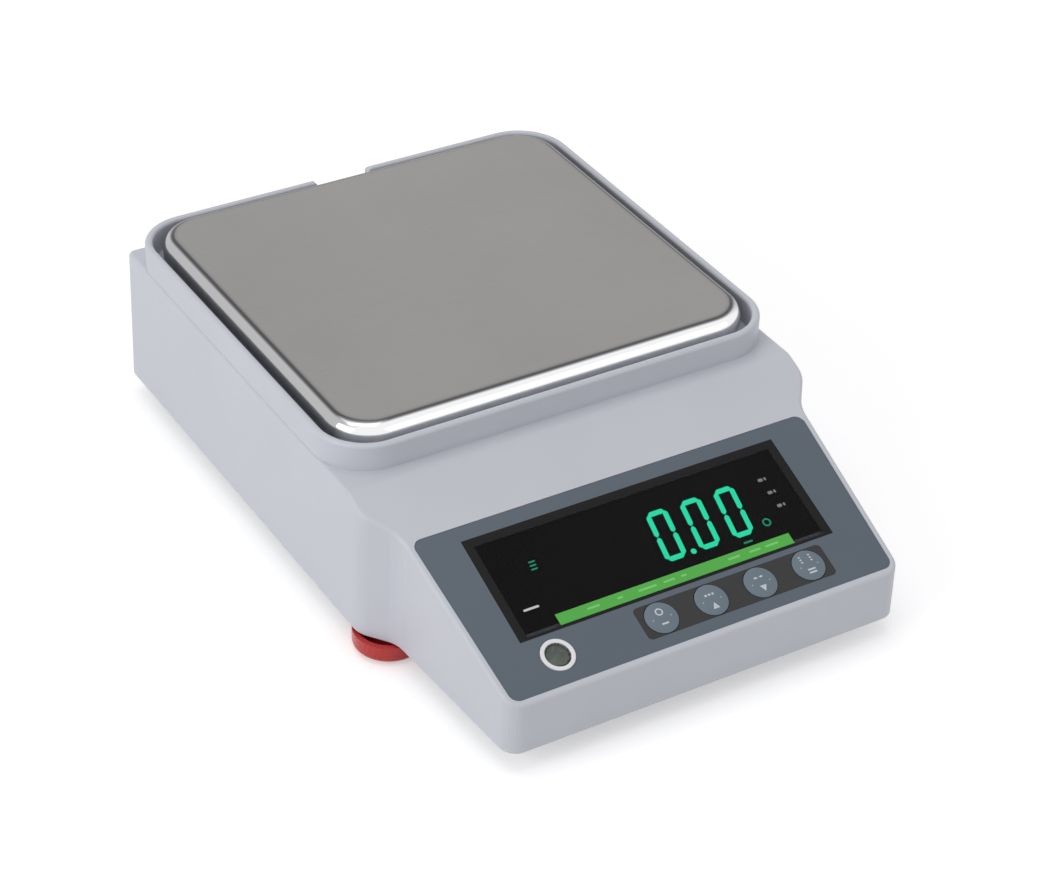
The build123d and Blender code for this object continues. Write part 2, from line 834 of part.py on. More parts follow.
def display_window():
    gap = overlay_gap / 2
    lens = block(window_width - 2 * gap, window_height - 2 * gap, window_thickness)
    lens = fillet(lens.edges().filter_by(Axis.Z), 0.5)
    return on_panel(lens, up=window_middle, height=window_under)


def module_face():
    return window_under - slip_gap


def frame_under():
    return -wall - window_frame_height


def display_module():
    """Lamp block of the display, filling the opening behind the window."""
    width = window_width - 2 * window_ledge - 2 * slip_gap
    height = window_height - 2 * window_ledge - 2 * slip_gap
    depth = module_face() - frame_under()
    return on_panel(block(width, height, depth), up=window_middle, height=frame_under())


def segment(middle, along, length):
    """One bar of a digit from its middle: a strip with pointed ends, leaned with the digit."""
    half = length / 2 - segment_gap
    tip = half - digit_stroke / 2
    wide = digit_stroke / 2
    ends = [(-half, 0), (-tip, wide), (tip, wide), (half, 0), (tip, -wide), (-tip, -wide)]
    lean = tan(radians(digit_slant))
    points = []
    for u, v in ends:
        across, up = (u, v) if along == "x" else (v, u)
        x = middle[0] + across
        y = middle[1] + up
        points.append((x + (y - digit_low) * lean, y))
    return extrude(Polygon(*points, align=None), digit_relief, dir=(0, 0, 1))


def digit(left):
    """The six lit bars of a zero."""
    wide = digit_width - digit_stroke
    tall = (digit_height - digit_stroke) / 2
    x = left + digit_width / 2
    y = digit_low + digit_stroke / 2
    bars = [segment((x, y + rise), "x", wide) for rise in (0, 2 * tall)]
    bars += [segment((x + s * wide / 2, y + tall * n), "y", tall) for s in (-1, 1) for n in (0.5, 1.5)]
    return bars


def display_segments():
    """Lit bars of three digits and a point, slanted as in the display."""
    solids = []
    for n in range(digit_count):
        solids += digit(digit_left + n * digit_pitch)
    point_x = digit_left + (digit_pitch + digit_width) / 2
    solids.append(disc(digit_stroke * 0.55, digit_relief, point_x, digit_low + digit_stroke / 2))
    return on_panel(group(solids), height=module_face())


def display_screw_places():
    x = window_width / 2 + window_frame_border / 2
    rise = window_height / 2 - 6
    return [(sx * x, window_middle + sy * rise) for sx, sy in corners]


def display_board():
    """Circuit board of the display, screwed to the frame behind the window."""
    width = window_width + 2 * window_frame_border
    board = block(width, window_height + 2 * window_frame_edge, board_thickness, y=window_middle)
    for x, up in display_screw_places():
        board = board - disc(display_screw_radius + screw_gap, board_thickness, x, up)
    return on_panel(board, height=frame_under() - board_thickness)


def display_screws():
    radius = display_screw_radius
    length = board_thickness + display_screw_length
    head = (1.9 * radius, 1.3 * radius)
    screws = [machine_screw(radius, length, *head, x, up, 0, up=-1) for x, up in display_screw_places()]
    return on_panel(group(screws), height=frame_under() - board_thickness)


def flange_top():
    return -wall - 0.05


def key_cap():
    """Domed key with a flange that keeps it under the wall and a stem to its switch."""
    top = overlay_top + key_rise
    flange_low = flange_top() - key_flange_thickness
    wide = key_radius + key_flange
    dome_radius = (key_radius**2 + key_dome**2) / (2 * key_dome)
    cap = disc(key_radius, top - flange_top() + 1, z=flange_top())
    cap = cap & Pos(0, 0, top - dome_radius) * Sphere(dome_radius)
    flange = disc(wide, key_flange_thickness, z=flange_low)
    stem = disc(key_stem_radius, key_depth, z=flange_low - key_depth)
    return cap + flange + stem


def stem_under():
    return flange_top() - key_flange_thickness - key_depth


def switch_top():
    return stem_under() - key_travel - 0.05


def keypad_switches():
    """Click switches under the keys."""
    body = block(switch_size, switch_size, switch_height, z=-switch_button_height - switch_height)
    button = disc(switch_button_radius, switch_button_height, z=-switch_button_height)
    return on_panel(group([Pos(x, key_row) * (body + button) for x in key_xs]), height=switch_top())


def keypad_board_top():
    return switch_top() - switch_button_height - switch_height


def keypad_post_xs():
    reach = key_radius + key_flange + keypad_post_radius + slip_gap
    return [key_xs[0] - reach, key_xs[-1] + reach]


def keypad_board():
    width = keypad_post_xs()[1] - keypad_post_xs()[0] + 3 * keypad_post_radius
    board = block(width, keypad_board_height, board_thickness, strip_x(), key_row)
    for x in keypad_post_xs():
        board = board - disc(screw_radius + screw_gap, board_thickness, x, key_row)
    return on_panel(board, height=keypad_board_top() - board_thickness)


def keypad_screws():
    under = keypad_board_top() - board_thickness
    length = board_thickness + keypad_screw_length
    screws = [small_screw(x, key_row, 0, length, up=-1) for x in keypad_post_xs()]
    return on_panel(group(screws), height=under)


def level_ring():
    inner = ring_radius - ring_wall
    height = ring_rise + ring_depth
    body = ring(ring_radius, inner, height, z=overlay_top - ring_depth)
    body = fillet(body.faces().sort_by(Axis.Z)[-1].edges(), 0.3)
    return on_panel(body, level_x, key_row)


def level_cup():
    """Cup that holds the vial, with a flange against the inside of the panel."""
    inner = ring_radius - ring_wall
    low = overlay_top - vial_depth
    depth = vial_depth - ring_depth
    cup = disc(ring_radius, depth + cup_wall, z=low - cup_wall) - disc(inner, depth, z=low)
    cup = cup + ring(ring_radius + cup_flange, inner, cup_wall, z=-wall - cup_wall)
    return on_panel(cup, level_x, key_row)


def level_vial():
    """Glass capsule with a hollow for the liquid."""
    radius = ring_radius - ring_wall
    low = overlay_top - vial_depth
    glass = disc(radius, vial_depth, z=low)
    hollow = disc(radius - vial_wall, vial_depth - 2 * vial_wall, z=low + vial_wall)
    return on_panel(glass - hollow, level_x, key_row)


def level_liquid():
    """Liquid with the bubble's hollow at its top."""
    radius = ring_radius - ring_wall - vial_wall
    low = overlay_top - vial_depth + vial_wall
    top = overlay_top - vial_wall
    liquid = disc(radius, top - low, z=low)
    bubble = Pos(0, 0, top + bubble_radius * 0.4) * Sphere(bubble_radius * 1.1)
    return on_panel(liquid - bubble, level_x, key_row)


def main_board():
    board = slab(main_board_width, main_board_length, board_thickness, 2, main_board_x, board_y, board_z)
    for x, y in board_hole_places:
        board = board - disc(screw_radius + screw_gap, board_thickness, x, y, board_z)
    return board


def main_board_parts():
    """Shield can, controller, capacitors and plug headers on the main board."""
    wide = main_board_width
    long = main_board_length
    middle = Pos(main_board_x, board_y, board_z + board_thickness)
    parts = [
        slab(0.4 * wide, 0.19 * long, 5, 1, -0.2 * wide, 0.25 * long),
        block(0.2 * wide, 0.12 * long, 1.6, 0.13 * wide, -0.04 * long),
        block(0.14 * wide, 0.06 * long, 1.6, -0.22 * wide, -0.06 * long),
        block(0.28 * wide, 0.06 * long, 7, 0.2 * wide, -0.37 * long),
        block(0.22 * wide, 0.06 * long, 7, -0.22 * wide, -0.37 * long),
        block(0.26 * wide, 0.1 * long, 9, 0.22 * wide, 0.36 * long),
        disc(4, 10, 0.35 * wide, 0.17 * long),
        disc(4, 10, 0.35 * wide, 0.06 * long),
    ]
    return group([middle * piece for piece in parts])


def board_screws():
    top = board_z + board_thickness
    length = board_thickness + board_screw_length
    return group([small_screw(x, y, top, length) for x, y in board_hole_places])


def foot_inserts():
    """Brass thread inserts in the front foot bosses."""
    bore = stud_radius + thread_clearance
    return group([ring(insert_radius, bore, insert_length, x, y, base_z) for x, y in foot_places])


def knob_under():
    return foot_pad_height + slip_gap


def foot_knob(x, y):
    """Levelling knob: smooth red cup, groove on top around its hub, hollow below for the pad."""
    top = foot_height - knob_body_gap
    floor = top - knob_groove_depth
    pad_room = foot_pad_radius + slip_gap
    inner = knob_radius - knob_rim
    points = [
        (stud_radius, top),
        (stud_radius, knob_under()),
        (pad_room, knob_under()),
        (pad_room, knob_ground_gap),
        (knob_radius, knob_ground_gap),
        (knob_radius, top),
        (inner, top),
        (inner, floor),
        (knob_hub_radius, floor),
        (knob_hub_radius, top),
    ]
    outline = Polygon(*points, align=None)
    outer = outline.vertices().filter_by_position(Axis.X, knob_radius - 0.1, knob_radius + 0.1)
    outline = fillet(outer.sort_by(Axis.Y)[0], knob_round)
    return Pos(x, y, 0) * revolve(Plane.XZ * outline, Axis.Z)


def foot_stud(x, y):
    """Threaded stud, pressed into the knob, with a thin tip in the pad."""
    tip_z = foot_pad_height / 2
    shank_z = knob_under()
    stud = disc(stud_tip_radius, shank_z - tip_z, x, y, tip_z)
    shank = disc(stud_radius, stud_length - shank_z + tip_z, x, y, shank_z)
    shank = chamfer(shank.edges().sort_by(Axis.Z)[-1], 0.6)
    return stud + shank


def foot_pad(x, y):
    """Small pad that stays still on the table while the knob turns."""
    socket = foot_pad_height / 2
    pad = disc(foot_pad_radius, foot_pad_height, x, y)
    pad = chamfer(pad.edges().sort_by(Axis.Z)[0], 0.5)
    return pad - disc(stud_tip_radius + thread_clearance, socket, x, y, socket)


def rear_feet():
    """Fixed rubber feet under the back of the base plate."""
    height = base_z
    profile = [(screw_radius + 0.1, height), (screw_radius + 0.1, 4), (3.4, 4), (3.4, 0)]
    profile += [(rear_foot_radius - 1, 0), (rear_foot_radius, 1), (rear_foot_radius, height)]
    foot = turned(profile)
    return group([Pos(x, y, 0) * foot for x, y in rear_foot_places])


def rear_foot_screws():
    return group([small_screw(x, y, 4, 14, up=-1) for x, y in rear_foot_places])


def serial_shell():
    """Metal flange and D-shaped shell of the serial connector."""
    flange = extrude(RectangleRounded(serial_flange_width, serial_flange_height, 1.5), serial_flange)
    shell = extrude(serial_plan(serial_shell_width, serial_shell_height), serial_shell_depth)
    bore = extrude(serial_plan(serial_shell_width - 1, serial_shell_height - 1), serial_shell_depth)
    body = flange + shell - bore
    for side in (-1, 1):
        body = body - disc(jack_shank_radius + jack_shank_gap, serial_flange, side * jack_screw_spacing / 2)
    return at_bay(body, serial_x)


def serial_body():
    """Insulator of the serial connector with its nine contact holes."""
    plan = serial_plan(serial_shell_width - 1, serial_shell_height - 1)
    body = extrude(plan, serial_shell_depth - 0.3) + extrude(plan, -serial_body_depth)
    pitch = 2.77
    rows = [(5, 1.42), (4, -1.42)]
    for count, y in rows:
        for n in range(count):
            hole = disc(0.55, 4, (n - (count - 1) / 2) * pitch, y, serial_shell_depth - 4)
            body = body - hole
    return at_bay(body, serial_x)


def serial_jack_screws():
    """Hexagonal posts with the threaded holes that hold a plug."""
    posts = []
    for side in (-1, 1):
        post = extrude(RegularPolygon(jack_screw_radius, 6, major_radius=False), jack_screw_length)
        post = Pos(0, 0, serial_flange) * post
        post = post + disc(jack_shank_radius, bay_wall + 2, z=serial_flange - bay_wall - 2)
        post = post - disc(jack_screw_bore, jack_screw_length, z=serial_flange + 0.8)
        posts.append(Pos(side * jack_screw_spacing / 2, 0) * post)
    return at_bay(group(posts), serial_x)


def dc_jack():
    """Barrel of the supply socket, with a collar behind the wall."""
    barrel = disc(dc_barrel_radius, dc_depth + 3, z=-dc_depth)
    barrel = barrel + disc(dc_nut_radius, 2, z=-bay_wall - 2)
    barrel = barrel - disc(dc_bore_radius, dc_depth, z=3 - dc_depth + 1)
    return at_bay(barrel, dc_x)


def dc_jack_nut():
    nut = extrude(RegularPolygon(dc_nut_radius, 6, major_radius=False), 2)
    return at_bay(nut - disc(dc_barrel_radius, 2), dc_x)


def dc_jack_pin():
    floor = 3 - dc_depth + 1
    pin = disc(dc_pin_radius, dc_depth - 2, z=floor)
    return at_bay(pin, dc_x)


def power_switch():
    """Case and bezel of the power switch, open for the rocker."""
    bezel = slab(rocker_bezel_width, rocker_bezel_height, rocker_bezel, 1.5)
    bezel = chamfer(bezel.faces().sort_by(Axis.Z)[-1].edges(), 0.5)
    case = block(rocker_case_width, rocker_case_height, rocker_case_depth, z=-rocker_case_depth)
    width = rocker_width + 2 * rocker_gap
    height = rocker_length + 3.5 * rocker_gap
    depth = rocker_case_depth / 2 + 1
    body = bezel + case - block(width, height, depth + rocker_bezel, z=-depth)
    return at_bay(body - rocker_pivot(rocker_pivot_gap), switch_x)


def rocker_pivot(gap):
    """Pivot across the rocker, longer than its width, grown by the gap."""
    length = rocker_width + 2 * (rocker_gap + rocker_pivot_length + gap)
    return Rot(0, 90, 0) * Cylinder(rocker_pivot_radius + gap, length)


def power_rocker():
    """Rocker with a hollowed face, tipped to its on side."""
    half = rocker_length / 2
    low = [(half, 2.6), (half, -0.5), (half - 3, -5)]
    points = [(0, 1.5)] + low + [(-y, z) for y, z in reversed(low)]
    body = extrude(Plane.YZ * Polygon(*points, align=None), rocker_width / 2, both=True)
    return at_bay(Rot(-rocker_tilt, 0, 0) * body + rocker_pivot(0), switch_x)


def all_nodes():
    """Every node's name and shape."""
    nodes = {
        "upper_housing": upper_housing(),
        "pan_rim": pan_rim(),
        "bay_panel": bay_panel(),
        "base_plate": base_plate(),
        "housing_screws": housing_screws(),
        "load_cell": load_cell(),
        "cell_spacer": cell_spacer(),
        "cell_base_screws": cell_base_screws(),
        "overload_stops": overload_stops(),
        "carrier_bracket": carrier_bracket(),
        "bracket_screws": bracket_screws(),
        "support_post": support_post(),
        "pan_support": pan_support(),
        "support_screws": support_screws(),
        "pan_buffers": pan_buffers(),
        "weighing_pan": weighing_pan(),
        "keypad_overlay": keypad_overlay(),
        "key_strip": key_strip(),
        "display_window": display_window(),
        "display_module": display_module(),
        "display_segments": display_segments(),
        "display_board": display_board(),
        "display_screws": display_screws(),
        "keypad_switches": keypad_switches(),
        "keypad_board": keypad_board(),
        "keypad_screws": keypad_screws(),
        "level_ring": level_ring(),
        "level_cup": level_cup(),
        "level_vial": level_vial(),
        "level_liquid": level_liquid(),
        "main_board": main_board(),
        "main_board_parts": main_board_parts(),
        "board_screws": board_screws(),
        "foot_inserts": foot_inserts(),
        "rear_feet": rear_feet(),
        "rear_foot_screws": rear_foot_screws(),
        "serial_shell": serial_shell(),
        "serial_body": serial_body(),
        "serial_jack_screws": serial_jack_screws(),
        "dc_jack": dc_jack(),
        "dc_jack_nut": dc_jack_nut(),
        "dc_jack_pin": dc_jack_pin(),
        "power_switch": power_switch(),
        "power_rocker": power_rocker(),
    }
    for number, x in enumerate(key_xs, start=1):
        nodes[f"key_{number}"] = on_panel(key_cap(), x, key_row)
    for side, (x, y) in zip(("left", "right"), foot_places):
        nodes[f"{side}_foot_knob"] = foot_knob(x, y)
        nodes[f"{side}_foot_stud"] = foot_stud(x, y)
        nodes[f"{side}_foot_pad"] = foot_pad(x, y)
    return nodes


os.makedirs("parts", exist_ok=True)
for name, shape in all_nodes().items():
    export_step(shape, f"parts/{name}.step")
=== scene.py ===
import bpy, bmesh
from math import cos, pi, radians, sin, tan
from mathutils import Matrix, Vector


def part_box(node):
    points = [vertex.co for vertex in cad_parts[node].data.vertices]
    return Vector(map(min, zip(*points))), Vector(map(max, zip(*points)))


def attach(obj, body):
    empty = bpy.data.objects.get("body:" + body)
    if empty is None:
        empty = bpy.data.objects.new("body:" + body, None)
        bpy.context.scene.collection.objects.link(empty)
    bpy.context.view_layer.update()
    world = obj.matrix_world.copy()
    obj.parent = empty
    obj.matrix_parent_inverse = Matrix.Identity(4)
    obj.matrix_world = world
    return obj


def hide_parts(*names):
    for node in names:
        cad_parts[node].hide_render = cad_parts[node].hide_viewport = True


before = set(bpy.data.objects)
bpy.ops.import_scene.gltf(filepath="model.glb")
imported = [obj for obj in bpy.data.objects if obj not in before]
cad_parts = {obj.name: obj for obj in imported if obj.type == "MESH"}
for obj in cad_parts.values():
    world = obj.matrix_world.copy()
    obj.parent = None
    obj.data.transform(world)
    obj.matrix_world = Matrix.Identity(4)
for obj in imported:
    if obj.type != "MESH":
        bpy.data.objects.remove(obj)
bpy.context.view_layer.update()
scene = bpy.context.scene
MM = 0.001

# Sizes that the pieces share with the frame, in millimetres.
# Places on the sloped panel are x, y up the slope from its front edge, and the height over its plane.
FRONT_Y = -145.5
PANEL_Z = 30.8
SLOPE = radians(20.9)
OVERLAY_TOP = -0.2
MODULE_FACE = -2.1
WINDOW_HALF = 69.0
WINDOW_LOW = 24.1
WINDOW_HIGH = 70.6
KEY_COUNT = 4
KEY_ROW = 14.8
KEY_FIRST_X = -14.15
KEY_PITCH = 22.0
KEY_TOP = 0.5
KEY_DOME = 0.5
KEY_RADIUS = 6.6

# The seven-segment digits
DIGIT_COUNT = 3
DIGIT_WIDTH = 9.4
DIGIT_HEIGHT = 22.3
DIGIT_FIRST_X = 1.2
DIGIT_PITCH = 15.2
DIGIT_LOW = 35.8
DIGIT_LEAN = tan(radians(7.0))
STROKE = 2.1
STROKE_GAP = 0.25
STROKE_TIP = 0.42
STROKE_NOSE = 0.25
POINT_X = 13.6
POINT_UP = 1.0
POINT_RADIUS = 1.15
LIT_HEIGHT = 0.2
UNLIT_HEIGHT = 0.1
LIT_BEVEL = 0.08
SMALL_BEVEL = 0.06

# Print: how deep it sits in what carries it, and how far it stands out
PRINT_SUNK = 0.02
PRINT_PROUD = 0.04
DASH_PROUD = 0.03
BORDER = 3.4
BORDER_LOW = 1.2
BORDER_PROUD = 0.01
KEY_PRINT = 0.03
KEY_PRINT_SCALE = 1.22

# Threads on the foot studs
THREAD_PITCH = 1.0
THREAD_DEPTH = 0.3
THREAD_STEPS = 24
THREAD_ROWS_PER_MM = 6
THREAD_FADE_ROWS = 4

PANEL = Matrix.Translation((0, FRONT_Y * MM, PANEL_Z * MM)) @ Matrix.Rotation(SLOPE, 4, "X")


# Materials

def srgb(r, g, b):
    """Linear colour from 0-255 display values."""
    def linear(v):
        v = v / 255
        return v / 12.92 if v <= 0.04045 else ((v + 0.055) / 1.055) ** 2.4
    return (linear(r), linear(g), linear(b), 1.0)


def shade(colour, factor):
    return tuple(min(1.0, c * factor) for c in colour[:3]) + (1.0,)


class Paint:
    """A Principled material and short ways to add procedural detail to it."""

    def __init__(self, name, colour, rough, metallic=0.0, **sockets):
        self.mat = bpy.data.materials.new(name)
        self.mat.use_nodes = True
        self.tree = self.mat.node_tree
        self.bsdf = self.tree.nodes["Principled BSDF"]
        self.mat.diffuse_color = colour
        self.set("Base Color", colour)
        self.set("Roughness", rough)
        self.set("Metallic", metallic)
        for key, value in sockets.items():
            self.set(key.replace("_", " "), value)
        self.coords = self.node("ShaderNodeTexCoord").outputs["Object"]

    def set(self, socket, value):
        self.bsdf.inputs[socket].default_value = value

    def node(self, kind, **values):
        node = self.tree.nodes.new(kind)
        for key, value in values.items():
            setattr(node, key, value)
        return node

    def feed(self, socket, value):
        """Gives a socket a constant or the output of another node."""
        if isinstance(value, (int, float, tuple)):
            socket.default_value = value
        else:
            self.tree.links.new(value, socket)

    def drive(self, name, value):
        self.feed(self.bsdf.inputs[name], value)

    def noise(self, scale, detail=3.0, rough=0.55, stretch=(1, 1, 1)):
        """Noise with features of about 1/scale metres, and shorter along an axis of larger stretch."""
        mapping = self.node("ShaderNodeMapping")
        mapping.inputs["Scale"].default_value = stretch
        self.feed(mapping.inputs["Vector"], self.coords)
        noise = self.node("ShaderNodeTexNoise")
        noise.inputs["Scale"].default_value = scale
        noise.inputs["Detail"].default_value = detail
        noise.inputs["Roughness"].default_value = rough
        self.feed(noise.inputs["Vector"], mapping.outputs["Vector"])
        return noise.outputs["Fac"]

    def remap(self, value, low, high, start=0.3, end=0.7):
        """Low at the start value, high at the end value, and even in between."""
        node = self.node("ShaderNodeMapRange")
        node.inputs["From Min"].default_value = start
        node.inputs["From Max"].default_value = end
        node.inputs["To Min"].default_value = low
        node.inputs["To Max"].default_value = high
        self.feed(node.inputs["Value"], value)
        return node.outputs["Result"]

    def math(self, operation, a, b):
        node = self.node("ShaderNodeMath", operation=operation)
        self.feed(node.inputs[0], a)
        self.feed(node.inputs[1], b)
        return node.outputs["Value"]

    def mix(self, colour_a, colour_b, factor):
        node = self.node("ShaderNodeMix", data_type="RGBA")
        self.feed(node.inputs["A"], colour_a)
        self.feed(node.inputs["B"], colour_b)
        self.feed(node.inputs["Factor"], factor)
        return node.outputs["Result"]

    def bump(self, value, depth):
        """Relief of that depth in mm."""
        node = self.node("ShaderNodeBump")
        node.inputs["Strength"].default_value = 1.0
        node.inputs["Distance"].default_value = depth * MM
        self.feed(node.inputs["Height"], value)
        self.drive("Normal", node.outputs["Normal"])


def moulded(name, colour, rough, grain, relief, mottle=0.05, **sockets):
    """Moulded plastic: fine spark texture, slight mottling, gloss that varies softly."""
    paint = Paint(name, colour, rough, **sockets)
    cloud = paint.noise(scale=18, detail=4)
    fine = paint.noise(scale=grain, detail=2, rough=0.6)
    low = shade(colour, 1 - mottle)
    high = shade(colour, 1 + mottle)
    paint.drive("Base Color", paint.mix(low, high, paint.remap(cloud, 0, 1)))
    paint.drive("Roughness", paint.remap(fine, rough - 0.06, rough + 0.06))
    paint.bump(fine, relief)
    return paint


def worked_metal(name, colour, rough, grain, relief):
    """Cast, turned or plated metal with a fine even grain."""
    paint = Paint(name, colour, rough, metallic=1.0)
    fine = paint.noise(scale=grain, detail=4, rough=0.65)
    cloud = paint.noise(scale=22)
    low = shade(colour, 0.93)
    high = shade(colour, 1.05)
    paint.drive("Base Color", paint.mix(low, high, paint.remap(cloud, 0, 1)))
    paint.drive("Roughness", paint.remap(fine, rough * 0.8, rough * 1.25))
    paint.bump(fine, relief)
    return paint


def pan_material():
    """Satin top with fine brushing along X, and a rolled edge of low roughness whose colour is a painted
    reflection: a painted highlight to the front and left, and painted dark reflection on the rest of the
    roll.
    """
    overall = (0.40, 0.395, 0.385, 1)
    # Colours of the rolled edge: painted dark reflection, and painted highlight
    painted_dark_reflection = (0.06, 0.06, 0.065, 1)
    painted_highlight = (0.9, 0.9, 0.91, 1)
    edge_rough = 0.1
    satin_low = (0.275, 0.27, 0.262, 1)
    satin_high = (0.31, 0.305, 0.296, 1)

    paint = Paint("pan_steel", overall, rough=0.3, metallic=1.0)
    facing = paint.node("ShaderNodeSeparateXYZ")
    paint.feed(facing.inputs["Vector"], paint.node("ShaderNodeTexCoord").outputs["Normal"])
    flat = paint.remap(facing.outputs["Z"], 0, 1, start=0.965, end=0.999)
    # Painted highlight mask: faces of the roll turned to the front or left get the painted highlight, and
    # the rest of the roll gets the painted dark reflection
    front = paint.remap(facing.outputs["Y"], 1.0, 0.0, start=-0.55, end=-0.1)
    left = paint.remap(facing.outputs["X"], 0.5, 0.0, start=-0.55, end=-0.1)
    painted_highlight_band = paint.remap(facing.outputs["Z"], 1.0, 0.1, start=0.86, end=0.93)
    painted_highlight_mask = paint.math("MULTIPLY", paint.math("MAXIMUM", front, left), painted_highlight_band)
    # Colour of the rolled edge, made of painted highlight and painted dark reflection
    painted_edge_reflection = paint.mix(painted_dark_reflection, painted_highlight, painted_highlight_mask)

    lines = paint.noise(scale=70, detail=5, rough=0.7, stretch=(1, 45, 1))
    fine = paint.noise(scale=420, detail=3, rough=0.6, stretch=(0.25, 9, 1))
    cloud = paint.noise(scale=9)
    wear = paint.math("ADD", paint.math("MULTIPLY", lines, 0.5), paint.math("MULTIPLY", cloud, 0.5))
    satin = paint.mix(satin_low, satin_high, paint.remap(wear, 0, 1, start=0.35, end=0.65))
    paint.drive("Base Color", paint.mix(painted_edge_reflection, satin, flat))

    top_rough = paint.math("MULTIPLY", paint.remap(fine, 0.34, 0.44), flat)
    roll_rough = paint.math("MULTIPLY", paint.math("SUBTRACT", 1.0, flat), edge_rough)
    paint.drive("Roughness", paint.math("ADD", top_rough, roll_rough))
    paint.bump(paint.math("MULTIPLY", fine, flat), 0.0025)
    return paint


def glass(name, colour, rough, ior):
    """Clear or tinted solid with a faint haze."""
    paint = Paint(name, colour, rough, Transmission_Weight=1.0, IOR=ior)
    haze = paint.noise(scale=60)
    paint.drive("Roughness", paint.remap(haze, rough * 0.7, rough * 1.4 + 0.01))
    paint.bump(paint.noise(scale=900, detail=2), 0.0008)
    return paint


def lit(name, colour, strength):
    """Lit segment with a slight grain from its diffuser."""
    paint = Paint(name, shade(colour, 0.4), rough=0.5)
    grain = paint.noise(scale=2400, detail=2)
    paint.set("Emission Color", colour)
    paint.drive("Emission Strength", paint.remap(grain, strength * 0.88, strength * 1.08))
    paint.bump(grain, 0.004)
    return paint


housing = moulded("housing_plastic", srgb(201, 203, 212), rough=0.42, grain=1400, relief=0.010, mottle=0.02)
base = moulded("base_plastic", srgb(168, 170, 178), rough=0.5, grain=1100, relief=0.02)
bay_plastic = moulded("bay_plastic", srgb(120, 122, 130), rough=0.5, grain=1300, relief=0.015)
overlay = moulded("overlay_film", srgb(82, 94, 105), rough=0.38, grain=2600, relief=0.006, mottle=0.03)
strip = moulded("strip_film", srgb(19, 20, 22), rough=0.3, grain=2600, relief=0.005)
black = moulded("black_plastic", srgb(30, 31, 34), rough=0.42, grain=1700, relief=0.01)
module = moulded("module_plastic", srgb(10, 11, 12), rough=0.6, grain=1800, relief=0.006)
keys = moulded("key_plastic", srgb(101, 116, 127), rough=0.42, grain=2300, relief=0.008, mottle=0.03)
ring_white = moulded("ring_plastic", srgb(236, 236, 240), rough=0.28, grain=2400, relief=0.003, mottle=0.01)
knob_red = moulded("knob_plastic", srgb(186, 38, 34), rough=0.26, grain=1900, relief=0.006)
rubber = moulded("rubber", srgb(38, 38, 40), rough=0.75, grain=1300, relief=0.03)
solder = moulded("solder_mask", srgb(24, 92, 52), rough=0.35, grain=900, relief=0.02)
aluminium = worked_metal("cast_aluminium", (0.74, 0.75, 0.76, 1), rough=0.42, grain=90, relief=0.02)
zinc = worked_metal("zinc_screws", (0.66, 0.66, 0.65, 1), rough=0.3, grain=360, relief=0.004)
brass = worked_metal("brass_inserts", (0.78, 0.58, 0.25, 1), rough=0.3, grain=360, relief=0.004)
print_white = moulded("print_white", srgb(205, 209, 212), rough=0.5, grain=2600, relief=0.004, mottle=0.06)
print_green = moulded("print_green", srgb(74, 174, 62), rough=0.45, grain=2400, relief=0.004)
print_pale = moulded("print_pale_green", srgb(118, 208, 108), rough=0.45, grain=2400, relief=0.004)
print_grey = moulded("print_grey", srgb(122, 124, 127), rough=0.5, grain=2600, relief=0.004, mottle=0.06)
pan_steel = pan_material()
window_glass = glass("window_tint", (0.10, 0.105, 0.11, 1), rough=0.06, ior=1.18)
vial_glass = glass("vial_glass", (0.93, 0.97, 0.95, 1), rough=0.02, ior=1.52)
liquid_glass = glass("liquid_green", (0.45, 0.72, 0.42, 1), rough=0.01, ior=1.36)
window_print = moulded("window_print", srgb(17, 17, 19), rough=0.3, grain=2600, relief=0.003,
                       Specular_IOR_Level=0.16)
segment_lit = lit("segment_lit", srgb(40, 222, 165), strength=9.0)
segment_dim = lit("segment_dim_lit", srgb(46, 205, 150), strength=4.0)
segment_off = moulded("segment_off", srgb(24, 27, 27), rough=0.5, grain=1800, relief=0.004)

# The frame's nodes by material; all others are plated screws and small metal parts
NODE_PAINTS = (
    (housing, ("upper_housing", "pan_rim")),
    (base, ("base_plate",)),
    (bay_plastic, ("bay_panel",)),
    (pan_steel, ("weighing_pan",)),
    (overlay, ("keypad_overlay",)),
    (strip, ("key_strip",)),
    (keys, tuple(f"key_{number}" for number in range(1, KEY_COUNT + 1))),
    (window_glass, ("display_window",)),
    (module, ("display_module",)),
    (solder, ("display_board", "keypad_board", "main_board")),
    (ring_white, ("level_ring",)),
    (vial_glass, ("level_vial",)),
    (liquid_glass, ("level_liquid",)),
    (black, ("level_cup", "keypad_switches", "main_board_parts", "power_switch", "power_rocker",
             "serial_body", "dc_jack")),
    (aluminium, ("load_cell", "cell_spacer", "carrier_bracket", "support_post", "pan_support")),
    (brass, ("foot_inserts",)),
    (rubber, ("pan_buffers", "rear_feet", "left_foot_pad", "right_foot_pad")),
    (knob_red, ("left_foot_knob", "right_foot_knob")),
)


def paint_nodes():
    paint_of = {node: paint for paint, nodes in NODE_PAINTS for node in nodes}
    for name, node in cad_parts.items():
        node.data.materials.clear()
        node.data.materials.append(paint_of.get(name, zinc).mat)


# Outlines in the panel's plane, closed and anticlockwise

def rectangle(x0, y0, x1, y1):
    return [(x0, y0), (x1, y0), (x1, y1), (x0, y1)]


def rounded(x0, y0, x1, y1, radius, steps=5):
    """Rectangle with round corners."""
    points = []
    corners = ((x1, y0, -90), (x1, y1, 0), (x0, y1, 90), (x0, y0, 180))
    for x, y, start in corners:
        cx = x - radius if x == x1 else x + radius
        cy = y - radius if y == y1 else y + radius
        for n in range(steps + 1):
            angle = radians(start + 90 * n / steps)
            points.append((cx + radius * cos(angle), cy + radius * sin(angle)))
    return points


